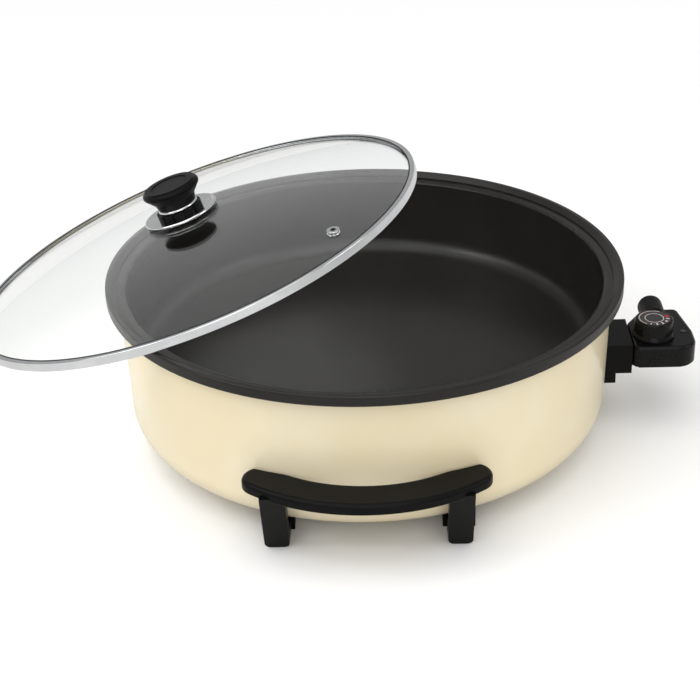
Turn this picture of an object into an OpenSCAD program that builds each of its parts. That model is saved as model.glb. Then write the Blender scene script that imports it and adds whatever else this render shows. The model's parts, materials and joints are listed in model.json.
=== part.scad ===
// Electric pizza maker: a round non-stick pan in a painted shell, with two carrying handles
// on legs, a pull-out thermostat plug and a lift-off glass lid that leans on the rim.
// Millimetres, +Z up, the floor at z = 0 and the pan's axis on the Z axis.
// -Y is the front handle, +X the thermostat plug.

/* [Pan rim] */
// Outside diameter of the black rim
rim_diameter = 420; // [416:0.5:424]
// Height of the rim band, from its lower edge to the top of the lip
rim_band = 8.3; // [7.5:0.1:9]
// Thickness of the rim and of the pan wall
rim_sheet = 2; // [1.6:0.1:2.2]
// Rounding of the outer top edge of the lip
lip_round = 1.5; // [1:0.1:1.8]
// Depth from the lip down to the ledge that carries the lid
ledge_drop = 4.5; // [4:0.1:5]
// Height of the upright wall round the ledge, which centres the lid
seat_wall = 1.2; // [0.8:0.1:1.6]
// Slope of the step between the lip and the ledge, in degrees
step_slope = 38; // [36:1:42]
// Distance from the outside of the rim in to the inner pan wall
rim_width = 16.6; // [16:0.1:17]

/* [Inner pan] */
// Depth from the lip down to the cooking surface
pan_depth = 72; // [68:0.5:74]
// Thickness of the pan floor
floor_sheet = 3; // [2.6:0.1:3.4]
// Rounding between the pan wall and its floor
pan_corner = 14; // [10:0.5:16]
// Inward lean of the pan wall, in mm for each 100 mm of depth
pan_draft = 4; // [2:0.5:5]

/* [Outer shell] */
// How far the rim stands out past the shell
rim_overhang = 9.4; // [9:0.1:9.6]
// Depth from the lip down to the underside of the shell
shell_depth = 126.7; // [124:0.1:130]
// Rounding at the bottom of the shell
shell_corner = 24.3; // [20:0.1:28]
// Inward lean of the shell wall, in mm for each 100 mm of depth
shell_draft = 2.77; // [2:0.01:3.5]
// Thickness of the shell
shell_sheet = 1; // [0.8:0.1:1.2]
// Space between the shell and the worktop
floor_gap = 16.3; // [15:0.1:20]

/* [Heating] */
// Radius of the aluminium plate that spreads the heat
spreader_radius = 140; // [130:1:148]
// Thickness of the heat spreading plate
spreader_sheet = 1.8; // [1.5:0.1:2.4]
// Radius of the heating ring
element_radius = 118; // [108:1:124]
// Radius of the heating tube
tube_radius = 3.2; // [3:0.1:3.4]
// Bend radius where the heating ring turns out to its terminals
element_bend = 10; // [8:0.5:14]
// Sideways distance of each terminal pin from the socket's centre
pin_offset = 11; // [10.5:0.1:11.5]
// Radius of a terminal pin
pin_radius = 2.4; // [2.2:0.1:2.5]
// Length of the wide cold end of each heating terminal
collar_length = 3; // [2:0.5:4]
// How far each terminal pin stands out of its collar
pin_length = 21.5; // [20.5:0.5:22.5]
// Radius of the heat shield under the heating ring
shield_radius = 150; // [140:1:158]
// Thickness of the heat shield
shield_sheet = 0.8; // [0.6:0.1:1]
// Space between the heating tube and the heat shield
shield_gap = 12; // [10:0.5:14]
// Radius of the centre stud that ties the pan to the shell
stud_radius = 3; // [2.5:0.1:3.5]
// Radius of the spacer tubes round the centre stud
spacer_radius = 6; // [5:0.5:8]
// Radius of the centre nut's washer
washer_radius = 12; // [10:0.5:14]
// Thickness of the washer
washer_sheet = 1.2; // [1:0.1:1.6]
// Width across the corners of the centre nut
centre_nut_size = 11.5; // [11:0.5:13]
// Height of the centre nut
centre_nut_height = 5; // [4:0.5:6]

/* [Handles and legs] */
// How far the front of the grip stands out past the rim
handle_stand = 26; // [24:0.5:29]
// Radius of the grip's outer curve
grip_radius = 139; // [134:0.5:144]
// Width of the grip
grip_width = 28.5; // [27:0.5:30]
// Thickness of the grip
grip_height = 9; // [8:0.5:10]
// Height of the grip's top above the worktop
grip_top = 68; // [66:0.5:72]
// Rounding of the grip's top edges
grip_round = 3.5; // [3:0.1:4]
// Half of the angle the grip sweeps
grip_sweep = 39; // [37:0.5:41]
// Sideways distance of each leg from the middle
leg_offset = 69.5; // [67:0.5:71]
// Width of a leg
leg_width = 19; // [17:0.5:20]
// Thickness of a leg from front to back
leg_depth = 12; // [11:0.5:13]
// Distance from the front of the grip in to the front of a leg at the worktop
leg_inset = 47.5; // [46:0.5:49]
// How far a leg leans outward on its way up to the grip
leg_lean = 27; // [26:0.5:29]
// Rounding at the bottom corners of a leg
leg_round = 5; // [4:0.5:6]
// Width of the foot block behind each leg
block_width = 25; // [22:0.5:28]
// Length of the foot block from front to back
block_length = 28; // [24:0.5:30]
// Distance from the shell's widest line in to the front of the foot block
block_inset = 35.6; // [34:0.1:38]
// Space between the grip and the shell where the grip's ends pass it
handle_gap = 3; // [2:0.5:5]
// Radius of the handle screws
handle_screw_radius = 2; // [1.75:0.05:2.25]
// Radius of the handle screws' heads
handle_head_radius = 3.8; // [3.5:0.1:4.2]

// Radius of the recess for a push-in rubber pad under each foot block
pad_radius = 5.5; // [5:0.1:6.5]
// Depth of the pad recess
pad_depth = 3; // [2:0.1:3.5]

/* [Plug socket] */
// Width of the socket guard
guard_width = 47; // [46:0.5:50]
// Height of the top of the socket guard above the terminal pins
guard_rise = 15; // [14:0.5:17]
// Height of the socket guard's flange
guard_flange_height = 35; // [34:0.5:38]
// How far the face of the flange stands out past the shell's widest line
flange_stand = 5.4; // [5:0.1:6.2]
// How far the mouth of the socket stands out past the flange
mouth_stand = 13; // [12:0.5:14]
// Height of the part of the guard that stands out round the plug
guard_block_height = 26; // [25.5:0.1:26.5]
// Width of the cavity that takes the plug's nose
socket_width = 34.8; // [34:0.1:35.5]
// Height of the cavity that takes the plug's nose
socket_cavity_height = 18; // [17.6:0.1:18.4]
// Thickness of the guard behind the cavity
socket_back = 3; // [2.6:0.1:3.2]
// Radius of the guard's screws
guard_screw_radius = 1.75; // [1.5:0.05:2]
// Half of the width across corners of the guard screws' nuts
guard_nut_radius = 3.4; // [3:0.1:3.8]
// Sideways distance of each guard screw from the middle
guard_screw_offset = 13; // [10:0.5:16]

/* [Thermostat plug] */
// Length of the plug's housing along X
plug_length = 52; // [50:0.5:55]
// Distance from the plug's centre line to the housing's front side
plug_front = 28.5; // [26:0.5:30]
// Distance from the plug's centre line to the housing's rear side
plug_rear = 41.5; // [40:0.5:44]
// Height of the terminal pins above the underside of the plug's housing
plug_drop = 4; // [4:0.1:4.5]
// Thickness of the plug's housing
plug_height = 19; // [18.6:0.1:20]
// Height of the joint between the two halves of the housing, above the underside
plug_split = 10; // [9.5:0.5:11]
// Rounding of the housing's edges
plug_round = 3; // [2.5:0.1:3.5]
// Step along the bottom edge of the plug housing
plug_foot_step = 1.2; // [0.6:0.1:1.6]
// Wall of the housing
plug_wall = 2.2; // [2:0.1:2.6]
// Thickness of the housing between its nose and its hollow
nose_wall = 6.2; // [5.8:0.1:6.4]
// Space round the plug's nose in the socket
nose_gap = 0.5; // [0.4:0.05:0.7]
// Radius of the heat sensing rod
rod_radius = 2.9; // [2.6:0.1:3]
// Length of the heat sensing rod in front of the nose
rod_reach = 86; // [80:1:90]
// Space round each terminal pin in its contact sleeve
contact_gap = 0.05; // [0.03:0.01:0.08]
// Radius of a contact sleeve
contact_radius = 3.5; // [3.3:0.1:3.6]
// Radius of the cord gland on the rear of the housing
gland_radius = 10.5; // [9.5:0.5:11]
// Length of the cord gland
gland_length = 15; // [12:0.5:18]
// Radius of the hole for the cord in the gland
cord_hole_radius = 3.5; // [3:0.1:4]
// Radius of the pilot lamp's lens
lens_radius = 2.4; // [2:0.1:3]
// Radius of the housing screws
plug_screw_radius = 1.25; // [1:0.05:1.4]

/* [Dial] */
// Distance from the socket's mouth to the dial's axis
dial_distance = 19; // [18.5:0.5:19.5]
// Sideways distance of the dial's axis from the plug's centre line, towards the front
dial_offset = 6; // [5:0.5:7]
// Radius of the dial at its skirt
dial_skirt_radius = 17.3; // [17:0.1:17.6]
// Radius of the dial's body
dial_radius = 16; // [15:0.1:16.4]
// Height of the dial
dial_height = 15.6; // [14:0.1:17]
// Space between the dial and the housing
dial_gap = 0.4; // [0.3:0.1:0.6]
// Radius of the dial's printed face
face_radius = 13.4; // [12.5:0.1:14]
// Radius of the thermostat's shaft
shaft_radius = 3; // [2.7:0.1:3.3]

/* [Lid] */
// Outside diameter of the lid's steel band
lid_diameter = 398; // [396:0.5:399]
// Height of the lid's steel band
band_height = 7.6; // [7.2:0.1:8]
// Thickness of the steel band
band_sheet = 0.8; // [0.6:0.1:1]
// Width of the steel band's lower lip
band_lip = 5.5; // [5:0.1:6]
// Thickness of the glass
glass_thickness = 4; // [3.8:0.1:4.2]
// Height of the inside of the dome above the bottom of the band
dome_rise = 28; // [26:0.5:30]
// Distance of the steam vent from the lid's axis
vent_distance = 167; // [160:0.5:170]
// Radius of the steam hole
vent_hole_radius = 2.2; // [1.8:0.1:2.6]
// Radius of the vent eyelet
vent_radius = 5.2; // [4.8:0.1:5.6]
// Direction of the steam vent round the lid, in degrees
vent_turn = 151; // [120:1:180]

/* [Lid knob] */
// Radius of the chrome dish under the knob
dish_radius = 32; // [30:0.5:34]
// Radius of the dish's flat middle
dish_flat = 20; // [18:0.5:21]
// Radius of the rubber washer under the glass
lid_washer_radius = 12; // [11:0.5:13]
// Rise of the chrome dish from its middle to its edge
dish_rise = 3.4; // [3:0.1:4]
// Thickness of the chrome dish
dish_sheet = 1; // [0.8:0.1:1.2]
// Thickness of the rubber washers on each side of the glass
washer_rubber = 1; // [0.8:0.1:1.4]
// Radius of the knob's black base
base_radius = 19.5; // [18:0.5:20.5]
// Height of the knob's black base
base_height = 5; // [4.5:0.5:6]
// Radius of the chrome ring at the knob's waist
collar_radius = 17.3; // [16.5:0.1:18]
// Height of the chrome ring
collar_height = 3; // [2.5:0.5:4]
// Radius of the knob's cap
cap_radius = 24.8; // [23:0.1:26]
// Height of the knob's cap
cap_height = 18.5; // [17:0.5:20]
// Radius of the groove in the top of the cap
groove_radius = 15.5; // [14:0.5:17]
// Radius of the lid screw
lid_screw_radius = 2.5; // [2.2:0.1:2.8]

/* [Leaning lid] */
// Sideways place of the lid's centre, left of the pan's axis
lean_left = 143.8; // [142:0.1:146]
// Place of the lid's centre behind the pan's axis
lean_back = 58.1; // [56:0.1:60]
// Tilt of the lid, in degrees
lean_tilt = 18.49; // [17.5:0.01:19]
// Direction the lid is tilted to, in degrees from +X
lean_turn = 170.92; // [169:0.01:172]
// Space left where the lid touches the rim
lean_gap = 0.03; // [0.02:0.01:0.1]

/* [Hidden] */
$fn = 64;
small = 0.01;
rim_r = rim_diameter / 2;
rim_top = shell_depth + floor_gap;
ledge_z = rim_top - ledge_drop;
under_z = ledge_z - rim_sheet;
wall_round = 2.5;
wall_r = rim_r - rim_width;
lip_c = [rim_r - 3.8, rim_top - 1.4];
step_top = lip_c + 1.4 * [-sin(step_slope), cos(step_slope)];
seat_r = step_top[0] - (step_top[1] - ledge_z - seat_wall) / tan(step_slope);
step_back = [step_top[0], step_top[1]] + rim_sheet * [sin(step_slope), -cos(step_slope)];
back_low = [step_back[0] - (step_back[1] - under_z) / tan(step_slope), under_z];
back_high = [step_back[0] - (step_back[1] - (rim_top - rim_sheet)) / tan(step_slope),
             rim_top - rim_sheet];

shell_r = rim_r - rim_overhang;
shell_top = under_z;
shell_low = floor_gap;
shell_slope = atan(shell_draft / 100);
floor_top = rim_top - pan_depth;
floor_under = floor_top - floor_sheet;
element_z = floor_under - spreader_sheet - tube_radius;
shield_z = element_z - tube_radius - shield_gap;
socket_height = element_z;
lead_z = socket_height;
collar_x = shell_r - 13.6;
handle_reach = rim_r + handle_stand;
leg_foot_reach = handle_reach - leg_inset;
block_reach = shell_r - block_inset;
guard_top = socket_height + guard_rise;
flange_face = shell_r + flange_stand;
socket_face = flange_face + mouth_stand;
plug_bottom = socket_height - plug_drop;
guard_inner = shell_r - 30;
cut_start = shell_r - 50;
pin_start = collar_x + collar_length;

guard_half = guard_width / 2;
flange_low = guard_top - guard_flange_height;
block_low = guard_top - guard_block_height;
cavity_x = flange_face - socket_back;
cavity_low = socket_height - socket_cavity_height / 2 + 1.2;
window_half = guard_half - 5;
sleeve_radius = rod_radius + 1.2;

nose_face = socket_face + 0.8;
nose_x = cavity_x + 0.8;
plug_end = nose_face + plug_length;
plug_top = plug_bottom + plug_height;
plug_mid = plug_bottom + plug_split;
dial_x = socket_face + dial_distance;
dial_y = -dial_offset;
dial_low = plug_top + dial_gap;
dial_top = dial_low + dial_height;
gland_x = nose_face + 24.5;
gland_z = plug_bottom + 14.8;
gland_start = plug_rear - 12;
block_top = plug_top - plug_wall - 0.3;

lid_r = lid_diameter / 2;
lip_r = lid_r - band_lip;
glass_r = lid_r - band_sheet - 0.6;
glass_low = band_sheet + 1.2;
sag = dome_rise - glass_low;
dome_r = (lip_r * lip_r + sag * sag) / (2 * sag);
dome_z = dome_rise - dome_r;
glass_top = dome_rise + glass_thickness;
dish_z = glass_top + washer_rubber;
base_z = dish_z + dish_sheet;
collar_z = base_z + base_height;
cap_z = collar_z + collar_height;
cap_top = cap_z + cap_height;

lean_n = [sin(lean_tilt) * cos(lean_turn), sin(lean_tilt) * sin(lean_turn), cos(lean_tilt)];
lean_x = -lean_left;
rim_rings = [[lip_c[0], rim_top], [rim_r - lip_round, rim_top],
             [rim_r - lip_round * 0.67, rim_top - lip_round * 0.056],
             [rim_r - lip_round * 0.293, rim_top - lip_round * 0.293],
             [rim_r, rim_top - lip_round]];
rim_points = [for (ring = rim_rings) for (a = [90:0.5:270])
              [ring[0] * cos(a), ring[0] * sin(a), ring[1]]];
// Height the lid's centre needs over one rim point so that the dome clears it
function dome_need(p) =
    let (cx = lean_x + lean_n[0] * dome_z,
         cy = lean_back + lean_n[1] * dome_z,
         flat = pow(dome_r - lean_gap, 2) - pow(p[0] - cx, 2) - pow(p[1] - cy, 2))
    p[2] - sqrt(flat) - lean_n[2] * dome_z;
// Height the lid's centre needs over one rim point so that the band clears it
function band_need(p) =
    p[2] + (lean_gap + (p[0] - lean_x) * lean_n[0] + (p[1] - lean_back) * lean_n[1]) / lean_n[2];
// Distance of a rim point from the lid's axis, with the lid's centre near the rim's height
function axis_distance(p) =
    let (d = [p[0] - lean_x, p[1] - lean_back, p[2] - rim_top + 4.9], h = d * lean_n)
    sqrt(d * d - h * h);
lean_z = max([for (p = rim_points)
              let (r = axis_distance(p))
              r < lip_r ? dome_need(p) : r < lid_r ? band_need(p) : 0]);

// Half section of a bowl with a leaning wall, a rounded corner and a flat bottom
module bowl_profile(top_r, top_z, low_z, corner, draft) {
    a = atan(draft / 100);
    tangent_z = low_z + corner - corner * sin(a);
    tangent_x = top_r - draft / 100 * (top_z - tangent_z);
    centre_x = tangent_x - corner * cos(a);
    centre_z = low_z + corner;
    polygon([[0, low_z], [centre_x, low_z], [centre_x, centre_z], [tangent_x, tangent_z],
             [top_r, top_z], [0, top_z]]);
    intersection() {
        translate([centre_x, centre_z]) circle(corner);
        translate([centre_x - small, low_z - small]) square([corner + 1, corner + small]);
    }
}

// Radius of such a bowl at one height
function bowl_radius(z, top_r, top_z, low_z, corner, draft) =
    let (a = atan(draft / 100),
         tangent_z = low_z + corner - corner * sin(a),
         centre_x = top_r - draft / 100 * (top_z - tangent_z) - corner * cos(a),
         below = max(0, low_z + corner - z))
    z > tangent_z ? top_r - draft / 100 * (top_z - z)
                  : centre_x + sqrt(max(0, corner * corner - below * below));

// The outside of the shell as one solid, for cutting what sits against it
module shell_solid(space) {
    rotate_extrude($fn = 360) bowl_profile(shell_r + space, shell_top + 3, shell_low - space,
                                           shell_corner + space, shell_draft);
}

module place_lid() {
    translate([lean_x, lean_back, lean_z]) rotate([0, lean_tilt, lean_turn]) children();
}

module both_sides() {
    children();
    mirror([0, 1, 0]) children();
}

module outer_shell() {
    color("#ead9b0") difference() {
        rotate_extrude() difference() {
            bowl_profile(shell_r, shell_top, shell_low, shell_corner, shell_draft);
            bowl_profile(shell_r - shell_sheet / cos(shell_slope), shell_top + small,
                         shell_low + shell_sheet, shell_corner - shell_sheet, shell_draft);
        }
        translate([cut_start, -window_half, socket_height - 9])
            cube([100, 2 * window_half, 19]);
        for (s = [-1, 1]) translate([cut_start, s * guard_screw_offset, flange_low + 4.5])
            rotate([0, 90, 0]) cylinder(r = guard_screw_radius + 0.3, h = 100);
        translate([0, 0, shell_low - 1]) cylinder(r = stud_radius + 0.3, h = 5);
        for (s = [-1, 1]) for (t = [-1, 1])
            translate([s * leg_offset, t * (block_reach - block_length / 2), shell_low - 1])
                cylinder(r = handle_screw_radius + 0.3, h = 5);
    }
}

module pan_liner() {
    color("#2b2a29") rotate_extrude() {
        difference() {
            bowl_profile(wall_r + rim_sheet, under_z, floor_under,
                         pan_corner + rim_sheet, pan_draft);
            bowl_profile(wall_r, under_z + small, floor_top, pan_corner, pan_draft);
        }
        translate([wall_r + wall_round, under_z])
            square([seat_r - wall_r - wall_round, rim_sheet]);
        intersection() {
            translate([wall_r + wall_round, ledge_z - wall_round]) circle(wall_round);
            translate([wall_r - 1, ledge_z - wall_round - small])
                square([wall_round + 1 + small, wall_round + 1]);
        }
        polygon([step_top, [seat_r, ledge_z + seat_wall], [seat_r, ledge_z],
                 [seat_r - 1.2, ledge_z], [seat_r - 1.2, under_z], back_low, back_high,
                 [lip_c[0], rim_top - rim_sheet], lip_c]);
        intersection() {
            translate(lip_c) circle(1.4);
            translate([lip_c[0] - 3, rim_top - rim_sheet]) square([4, 3]);
        }
        translate([lip_c[0], rim_top - rim_sheet])
            square([rim_r - lip_round - lip_c[0], rim_sheet]);
        translate([rim_r - lip_round, rim_top - lip_round]) circle(lip_round);
        translate([rim_r - rim_sheet, rim_top - rim_band])
            square([rim_sheet, rim_band - lip_round]);
    }
}

module heat_spreader() {
    color("#b9bcc0") difference() {
        translate([0, 0, floor_under - spreader_sheet])
            cylinder(r = spreader_radius, h = spreader_sheet);
        translate([0, 0, floor_under - spreader_sheet - 1])
            cylinder(r = stud_radius + 0.3, h = spreader_sheet + 2);
    }
}

module heating_element() {
    bend_y = pin_offset + element_bend;
    bend_x = sqrt(pow(element_radius + element_bend, 2) - pow(bend_y, 2));
    gap = atan(bend_y / bend_x);
    color("#6d6a68") translate([0, 0, element_z]) {
        rotate([0, 0, gap]) rotate_extrude(angle = 360 - 2 * gap)
            translate([element_radius, 0]) circle(tube_radius, $fn = 24);
        both_sides() {
            translate([bend_x, bend_y, 0]) rotate([0, 0, 180 + gap])
                rotate_extrude(angle = 90 - gap) translate([element_bend, 0])
                    circle(tube_radius, $fn = 24);
            translate([bend_x, pin_offset, 0]) rotate([0, 90, 0])
                cylinder(r = tube_radius, h = collar_x - bend_x, $fn = 24);
        }
    }
}

module element_terminals() {
    color("#c9b27a") both_sides() translate([collar_x, pin_offset, lead_z])
        rotate([0, 90, 0]) {
            cylinder(r = tube_radius, h = collar_length);
            cylinder(r = pin_radius, h = collar_length + pin_length);
            translate([0, 0, collar_length + pin_length]) sphere(pin_radius);
        }
}

module heat_shield() {
    color("#c5c7ca") difference() {
        union() {
            translate([0, 0, shield_z]) cylinder(r = shield_radius, h = shield_sheet);
            translate([0, 0, shield_z]) difference() {
                cylinder(r = shield_radius, h = 5);
                translate([0, 0, -1]) cylinder(r = shield_radius - shield_sheet, h = 7);
            }
        }
        translate([0, 0, shield_z - 1]) cylinder(r = stud_radius + 0.3, h = 4);
    }
}

module centre_stud() {
    low = shell_low - washer_sheet - centre_nut_height - 1.5;
    color("#9a9da1") translate([0, 0, low]) cylinder(r = stud_radius, h = floor_under - low);
}

module stud_spacers() {
    shield_top = shield_z + shield_sheet;
    color("#a7a9ac") {
        difference() {
            translate([0, 0, shield_top])
                cylinder(r = spacer_radius, h = floor_under - spreader_sheet - shield_top);
            translate([0, 0, shield_top - 1]) cylinder(r = stud_radius + 0.3, h = 60);
        }
        difference() {
            translate([0, 0, shell_low + shell_sheet])
                cylinder(r = spacer_radius, h = shield_z - shell_low - shell_sheet);
            translate([0, 0, shell_low]) cylinder(r = stud_radius + 0.3, h = 60);
        }
    }
}

module centre_nut() {
    color("#8f9296") difference() {
        union() {
            translate([0, 0, shell_low - washer_sheet])
                cylinder(r = washer_radius, h = washer_sheet);
            translate([0, 0, shell_low - washer_sheet - centre_nut_height])
                cylinder(r = centre_nut_size / 2, h = centre_nut_height, $fn = 6);
        }
        cylinder(r = stud_radius + 0.03, h = 30);
    }
}

// One grip with its two legs and foot blocks, in front of the pan
module handle() {
    grip_y = grip_radius - handle_reach;
    mid_r = grip_radius - grip_width / 2;
    low = grip_top - grip_height;
    lean = leg_lean / low;
    difference() {
        union() {
            translate([0, grip_y, 0]) {
                rotate([0, 0, -90 - grip_sweep]) rotate_extrude(angle = 2 * grip_sweep)
                    translate([mid_r, 0]) grip_section();
                for (s = [-1, 1]) rotate([0, 0, -90 + s * grip_sweep]) translate([mid_r, 0, 0])
                    rotate_extrude() intersection() {
                        grip_section();
                        translate([0, low - 1]) square([grip_width, grip_height + 2]);
                    }
            }
            for (s = [-1, 1]) translate([s * leg_offset, 0, 0]) {
                leg();
                translate([-block_width / 2, -block_reach, 0])
                    cube([block_width, block_length, shell_low]);
                translate([-leg_width / 2, -leg_foot_reach + 6, 3])
                    cube([leg_width, leg_foot_reach - block_reach, 9]);
            }
        }
        translate([0, 0, 25]) cylinder(r = shell_r + handle_gap - 1.8, h = 100);
        shell_solid(0);
        for (s = [-1, 1]) translate([s * leg_offset, -block_reach + block_length / 2, 0]) {
            translate([0, 0, -1]) cylinder(r = handle_screw_radius + 0.3, h = 30);
            translate([0, 0, -1]) cylinder(r = handle_head_radius + 0.5, h = 8);
            translate([0, 0, -1]) cylinder(r = pad_radius, h = 1 + pad_depth);
        }
    }
}

module grip_section() {
    half = grip_width / 2;
    low = grip_top - grip_height;
    translate([-half, low + 1.5]) square([grip_width, grip_height - grip_round - 1.5]);
    translate([-half + 1.5, low]) square([grip_width - 3, 3]);
    translate([-half + grip_round, grip_top - grip_round - 1])
        square([grip_width - 2 * grip_round, grip_round + 1]);
    for (s = [-1, 1]) {
        translate([s * (half - grip_round), grip_top - grip_round]) circle(grip_round);
        translate([s * (half - 1.5), low + 1.5]) circle(1.5);
    }
}

module leg() {
    low = grip_top - grip_height;
    high = low + 3;
    shift = leg_lean * high / low;
    intersection() {
        translate([-leg_width / 2, 0, 0]) rotate([90, 0, 90]) linear_extrude(leg_width)
            polygon([[-leg_foot_reach, 0], [-leg_foot_reach + leg_depth, 0],
                     [-leg_foot_reach + leg_depth - shift, high],
                     [-leg_foot_reach - shift, high]]);
        translate([0, -leg_foot_reach + 50, 0]) rotate([90, 0, 0]) linear_extrude(120) {
            translate([-leg_width / 2, leg_round]) square([leg_width, high]);
            translate([-leg_width / 2 + leg_round, 0])
                square([leg_width - 2 * leg_round, leg_round + 1]);
            for (s = [-1, 1]) translate([s * (leg_width / 2 - leg_round), leg_round])
                circle(leg_round);
        }
    }
}

module front_handle() {
    color("#1b1a19") handle();
}

module rear_handle() {
    color("#1b1a19") rotate([0, 0, 180]) handle();
}

module handle_screws() {
    color("#8f9296") for (s = [-1, 1]) for (t = [-1, 1])
        translate([s * leg_offset, t * (block_reach - block_length / 2), 0]) {
            translate([0, 0, 7]) mirror([0, 0, 1])
                cylinder(r = handle_head_radius, h = 3);
            translate([0, 0, 4]) cylinder(r = handle_screw_radius, h = shell_low + 2);
        }
}

module handle_nuts() {
    color("#8f9296") for (s = [-1, 1]) for (t = [-1, 1])
        translate([s * leg_offset, t * (block_reach - block_length / 2),
                   shell_low + shell_sheet])
            difference() {
                cylinder(r = 4, h = 3.4, $fn = 6);
                translate([0, 0, -1]) cylinder(r = handle_screw_radius + 0.03, h = 6);
            }
}

module socket_guard() {
    color("#201f1e") difference() {
        union() {
            translate([guard_inner, -guard_half, flange_low])
                cube([flange_face - guard_inner, guard_width, guard_flange_height]);
            translate([guard_inner + 10, -guard_half, block_low])
                cube([socket_face - guard_inner - 10, guard_width, guard_block_height]);
        }
        shell_solid(0.3);
        translate([cavity_x, -socket_width / 2, cavity_low])
            cube([30, socket_width, socket_cavity_height]);
        for (s = [-1, 1]) {
            translate([cut_start, s * pin_offset, socket_height]) rotate([0, 90, 0])
                cylinder(r = pin_radius + 0.4, h = 60);
            translate([cut_start, s * guard_screw_offset, flange_low + 4.5]) rotate([0, 90, 0])
                cylinder(r = guard_screw_radius + 0.3, h = 100);
            translate([flange_face - 2.6, s * guard_screw_offset, flange_low + 4.5])
                rotate([0, 90, 0]) cylinder(r = 3.4, h = 30);
        }
        translate([cut_start, 0, socket_height]) rotate([0, 90, 0])
            cylinder(r = sleeve_radius + 0.03, h = 60);
    }
}

module sensor_sleeve() {
    color("#b4b6b9") translate([spreader_radius + 6, 0, socket_height]) rotate([0, 90, 0])
        difference() {
            cylinder(r = sleeve_radius, h = cavity_x - spreader_radius - 6);
            translate([0, 0, -1]) cylinder(r = sleeve_radius - 0.8, h = 90);
        }
}

module guard_screws() {
    inside = sqrt(pow(shell_r - shell_sheet, 2) - pow(guard_screw_offset, 2)) - 8;
    color("#8f9296") both_sides() translate([0, guard_screw_offset, flange_low + 4.5])
        rotate([0, 90, 0]) {
            translate([0, 0, flange_face - 2.6]) cylinder(r = 3, h = 1.8);
            translate([0, 0, inside]) cylinder(r = guard_screw_radius,
                                               h = flange_face - 1.6 - inside);
        }
}

module guard_nuts() {
    nut_low = flange_low + 4.5 - guard_nut_radius;
    low_r = bowl_radius(nut_low, shell_r - shell_sheet / cos(shell_slope), shell_top,
                        shell_low + shell_sheet, shell_corner - shell_sheet, shell_draft);
    face = sqrt(pow(low_r, 2) - pow(guard_screw_offset + 4, 2)) - 0.3;
    color("#8f9296") both_sides() translate([face - 3, guard_screw_offset, flange_low + 4.5])
        rotate([0, 90, 0]) difference() {
            cylinder(r = guard_nut_radius, h = 3, $fn = 6);
            translate([0, 0, -1]) cylinder(r = guard_screw_radius + 0.03, h = 6);
        }
}

// Corners of the plug's housing: x, y and the radius of the corner
plug_corners = [[nose_face, -plug_front, 5], [plug_end, -plug_front, 16],
                [plug_end, 2, 9], [plug_end - 7, plug_rear, 5],
                [nose_face + 15, plug_rear, 5], [nose_face, 18, 5]];
function unit(v) = v / norm(v);
// Centre of the corner circle with number i
function corner_centre(i) =
    let (n = len(plug_corners),
         p = [plug_corners[i][0], plug_corners[i][1]],
         a = plug_corners[(i + n - 1) % n],
         b = plug_corners[(i + 1) % n],
         u = unit([a[0], a[1]] - p),
         v = unit([b[0], b[1]] - p),
         half = acos(u * v) / 2)
    p + unit(u + v) * plug_corners[i][2] / sin(half);

// Flat outline of the housing, drawn in by a distance
module plug_outline(inset) {
    n = len(plug_corners);
    points = [for (i = [0:n - 1]) for (k = [0, 1])
              let (c = corner_centre(i),
                   p = [plug_corners[i][0], plug_corners[i][1]],
                   q = plug_corners[(i + (k == 0 ? n - 1 : 1)) % n],
                   d = unit([q[0], q[1]] - p),
                   out = k == 0 ? [-d[1], d[0]] : [d[1], -d[0]])
              c + out * (plug_corners[i][2] - inset)];
    polygon(points);
    for (i = [0:n - 1]) translate(corner_centre(i)) circle(plug_corners[i][2] - inset);
}

// Upper housing block with its top edge rounded
module plug_top_slab(low, high) {
    n = len(plug_corners);
    e = plug_round;
    hull() {
        translate([0, 0, low]) linear_extrude(1) plug_outline(0);
        for (i = [0:n - 1]) translate(corner_centre(i))
            translate([0, 0, high - e]) rotate_extrude($fn = 32) intersection() {
                translate([plug_corners[i][2] - e, 0]) circle(e, $fn = 32);
                translate([0, -e]) square([2 * e + plug_corners[i][2], 2 * e]);
            }
    }
}

// Lower housing block, drawn in along its bottom edge
module plug_low_slab(low, high) {
    translate([0, 0, low]) linear_extrude(plug_wall) plug_outline(plug_foot_step);
    translate([0, 0, low + plug_foot_step]) linear_extrude(high - low - plug_foot_step)
        plug_outline(0);
}

module probe_base() {
    nose_half = socket_width / 2 - nose_gap;
    nose_low = cavity_low + nose_gap;
    nose_height = socket_cavity_height - 2 * nose_gap;
    color("#191919") difference() {
        union() {
            plug_low_slab(plug_bottom, plug_mid);
            translate([nose_x, -nose_half, nose_low])
                cube([nose_face - nose_x + 6, 2 * nose_half, plug_mid - nose_low]);
            translate([nose_x, -nose_half, nose_low])
                cube([nose_face - nose_x - 0.2, 2 * nose_half, nose_height]);
        }
        translate([0, 0, plug_bottom + plug_wall]) linear_extrude(plug_height) intersection() {
            plug_outline(4.6);
            translate([nose_face + nose_wall, -60]) square([100, 120]);
        }
        for (s = [-1, 1]) translate([nose_x - 1, s * pin_offset, socket_height])
            rotate([0, 90, 0]) cylinder(r = contact_radius + 0.01, h = 14.5);
        translate([nose_x - 1, 0, socket_height]) rotate([0, 90, 0])
            cylinder(r = rod_radius + 0.01, h = 40);
        for (p = plug_screw_places) translate([p[0], p[1], plug_bottom - 1]) {
            cylinder(r = plug_screw_radius + 0.15, h = 30);
            cylinder(r = 2.6, h = 3.5);
        }
        translate([gland_x, gland_start, gland_z]) rotate([-90, 0, 0])
            cylinder(r = gland_radius + 0.02, h = 80);
    }
}

plug_screw_places = [[nose_face + 3.1, -plug_front + 3.6], [plug_end - 6, -plug_front + 8.5],
                     [plug_end - 10.5, plug_rear - 3.2], [nose_face + 3.1, 13.5]];

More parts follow.
